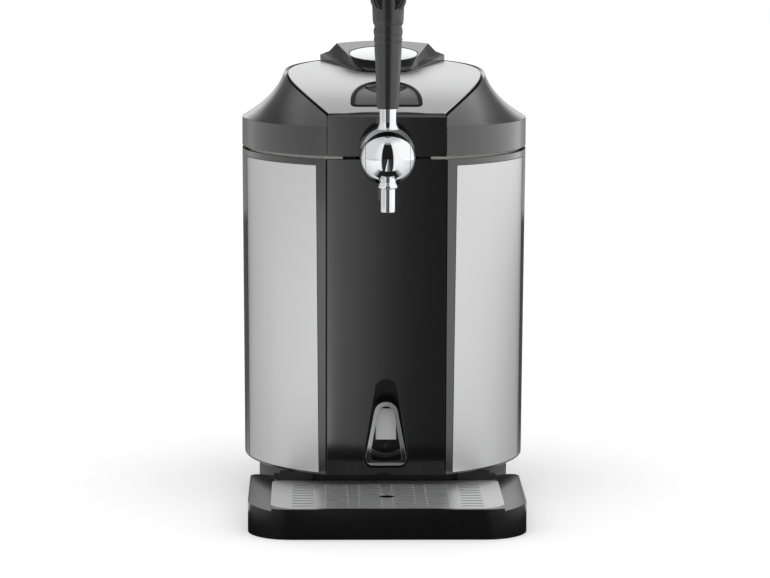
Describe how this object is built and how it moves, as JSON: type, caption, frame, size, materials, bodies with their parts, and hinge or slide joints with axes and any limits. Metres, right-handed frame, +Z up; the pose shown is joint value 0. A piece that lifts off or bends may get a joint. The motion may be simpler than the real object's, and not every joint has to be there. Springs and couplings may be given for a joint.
{
  "type": "mini keg beer dispenser",
  "caption": "Countertop cooler and tap for a small party keg: round black and steel body with flat front, hinged lid, lever tap, bottle opener and drip tray.",
  "frame": {"origin": "on the table surface, under the middle of the whole machine's outline", "axes": "+Z up, -Y to the front where the tap and tray are, +X to the machine's right seen from behind the tap"},
  "size_m": [0.275, 0.409, 0.5056],
  "materials": {
    "gloss_black": "glossy injection-moulded black",
    "satin_black": "fine-grained satin black",
    "brushed_steel": "vertically brushed stainless",
    "chrome": "polished chrome plate",
    "plain_steel": "turned and zinc-plated steel",
    "rubber": "soft black rubber",
    "aluminium": "extruded, natural",
    "foam": "rigid insulating foam",
    "white_plastic": "plain white moulding",
    "ceramic": "white ceramic plates",
    "board": "green circuit board with parts",
    "hose": "clear-white flexible hose",
    "brass": "machined brass",
    "grey_button": "glossy dark grey"
  },
  "bodies": {
    "body": {"casing": "gloss_black", "side_panel_left": "brushed_steel", "side_panel_right": "brushed_steel", "front_fascia": "gloss_black", "niche_cup": "satin_black", "opener_frame": "chrome", "opener_plate": "brushed_steel", "opener_screws": "plain_steel", "pedestal": "satin_black", "base_plate": "satin_black", "feet": "rubber", "keg_liner": "aluminium", "insulation": "foam", "body_rim": "satin_black", "cold_block": "aluminium", "peltier_module": "ceramic", "heat_sink": "aluminium", "fan_frame": "satin_black", "rear_cover": "satin_black", "cover_screws": "plain_steel", "control_board": "board", "power_inlet": "satin_black", "switch_frame": "satin_black", "hinge_base": "satin_black", "hinge_pin": "plain_steel", "tap_body": "chrome", "tap_pivot_pin": "plain_steel", "tap_collar": "chrome", "tap_shank": "chrome", "shank_elbow": "chrome", "spout": "chrome", "beer_line": "hose", "keg_coupler": "satin_black"},
    "lid": {"lid_collar": "gloss_black", "lid_shoulder": "gloss_black", "lid_fascia": "gloss_black", "lid_panel": "brushed_steel", "lid_frame": "satin_black", "lid_inner": "white_plastic", "lid_foam": "foam", "lid_seal": "rubber", "crown": "satin_black", "gas_well": "satin_black", "gas_regulator": "brass", "button_bezel": "gloss_black", "button_spring": "plain_steel", "hinge_arm": "satin_black"},
    "cap_ring": {"cap_collar": "plain_steel"},
    "gas_cap": {"gas_cap": "chrome", "gas_cartridge": "plain_steel"},
    "release_button": {"release_button": "grey_button"},
    "latch": {"latch_slide": "satin_black"},
    "tap_lever": {"tap_lever": "chrome", "tap_handle": "satin_black", "handle_medallion": "brushed_steel"},
    "valve": {"valve_piston": "plain_steel"},
    "drip_tray": {"drip_tray": "gloss_black"},
    "drip_grille": {"drip_grille": "brushed_steel"},
    "fan": {"fan_rotor": "satin_black"},
    "power_switch": {"power_switch": "gloss_black"}
  },
  "joints": [
    {"name": "lid_hinge", "type": "hinge", "parent": "body", "child": "lid", "pos_m": [0, 0.1775, 0.338], "axis": [-1, 0, 0], "range_deg": [0, 95]},
    {"name": "cap_turn", "type": "hinge", "parent": "lid", "child": "cap_ring", "pos_m": [0, 0.0715, 0.425], "axis": [0, -0.1461, 0.9893], "range_deg": [0, 60]},
    {"name": "cap_lift", "type": "slide", "parent": "cap_ring", "child": "gas_cap", "axis": [0, -0.1461, 0.9893], "range_m": [0, 0.11]},
    {"name": "button_press", "type": "slide", "parent": "lid", "child": "release_button", "axis": [0, 0.2554, -0.9668], "range_m": [0, 0.003], "stiffness_N_per_m": 600, "springref_m": -0.001},
    {"name": "latch_pull", "type": "slide", "parent": "lid", "child": "latch", "axis": [0, 1, 0], "range_m": [0, 0.003]},
    {"name": "lever_tilt", "type": "hinge", "parent": "body", "child": "tap_lever", "pos_m": [0, -0.1262, 0.342], "axis": [1, 0, 0], "range_deg": [0, 22]},
    {"name": "valve_stroke", "type": "slide", "parent": "body", "child": "valve", "axis": [0, 1, 0], "range_m": [0, 0.005]},
    {"name": "tray_pull", "type": "slide", "parent": "body", "child": "drip_tray", "axis": [0, -1, 0], "range_m": [0, 0.18]},
    {"name": "grille_lift", "type": "slide", "parent": "drip_tray", "child": "drip_grille", "axis": [0, 0, 1], "range_m": [0, 0.0085]},
    {"name": "fan_spin", "type": "hinge", "parent": "body", "child": "fan", "pos_m": [0, 0.1815, 0.17], "axis": [0, 1, 0], "continuous": true},
    {"name": "switch_rock", "type": "hinge", "parent": "body", "child": "power_switch", "pos_m": [0.0317, 0.199, 0.0407], "axis": [1, 0, 0], "range_deg": [-16, 0]}
  ],
  "couplings": [
    {"joint": "latch_pull", "follows": "button_press", "ratio": 1},
    {"joint": "valve_stroke", "follows": "lever_tilt", "m_per_rad": 0.0125}
  ]
}
